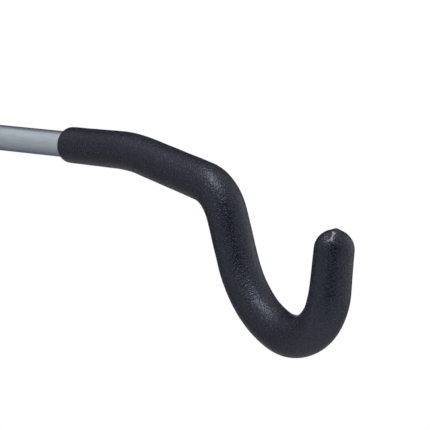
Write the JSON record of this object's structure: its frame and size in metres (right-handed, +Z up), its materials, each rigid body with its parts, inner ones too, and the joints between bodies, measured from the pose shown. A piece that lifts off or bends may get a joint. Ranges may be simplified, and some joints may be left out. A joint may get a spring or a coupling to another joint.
{
  "type": "folding wall bike holder",
  "caption": "Wall rail with swinging bent tube arms that end in thick black dipped hooks and fold sideways flat to the wall.",
  "frame": {"origin": "middle of the rail's back face, on the wall, halfway between the two pivot bolts", "axes": "+Z up, +Y into the wall, so that the arms point out along -Y at rest; +X towards the right arm's side"},
  "size_m": [0.38, 0.49, 0.1832],
  "materials": {
    "grey_paint": "smooth semi-gloss silver-grey coat",
    "black_dip": "satin blue-black dipped vinyl with a fine leathery grain",
    "zinc_plate": "bright zinc plating",
    "black_nylon": "matt moulded nylon",
    "insert_nylon": "natural off-white nylon"
  },
  "bodies": {
    "wall_rail": {"wall_rail": "grey_paint", "right_pivot_bolt": "zinc_plate", "right_head_washer": "zinc_plate", "right_nut_washer": "zinc_plate", "right_lock_nut": "zinc_plate", "right_lock_nut_insert": "insert_nylon", "left_pivot_bolt": "zinc_plate", "left_head_washer": "zinc_plate", "left_nut_washer": "zinc_plate", "left_lock_nut": "zinc_plate", "left_lock_nut_insert": "insert_nylon"},
    "right_arm": {"right_arm_tube": "grey_paint", "right_hinge_barrel": "grey_paint", "right_stop_lug": "grey_paint", "right_upper_bush": "black_nylon", "right_lower_bush": "black_nylon", "right_tube_end_plug": "black_nylon", "right_hook_coat": "black_dip"},
    "left_arm": {"left_arm_tube": "grey_paint", "left_hinge_barrel": "grey_paint", "left_stop_lug": "grey_paint", "left_upper_bush": "black_nylon", "left_lower_bush": "black_nylon", "left_tube_end_plug": "black_nylon", "left_hook_coat": "black_dip"}
  },
  "joints": [
    {"name": "right_arm_swing", "type": "hinge", "parent": "wall_rail", "child": "right_arm", "pos_m": [0.17, -0.024, 0], "axis": [0, 0, 1], "range_deg": [0, 90]},
    {"name": "left_arm_swing", "type": "hinge", "parent": "wall_rail", "child": "left_arm", "pos_m": [-0.17, -0.024, 0], "axis": [0, 0, -1], "range_deg": [0, 90]}
  ]
}
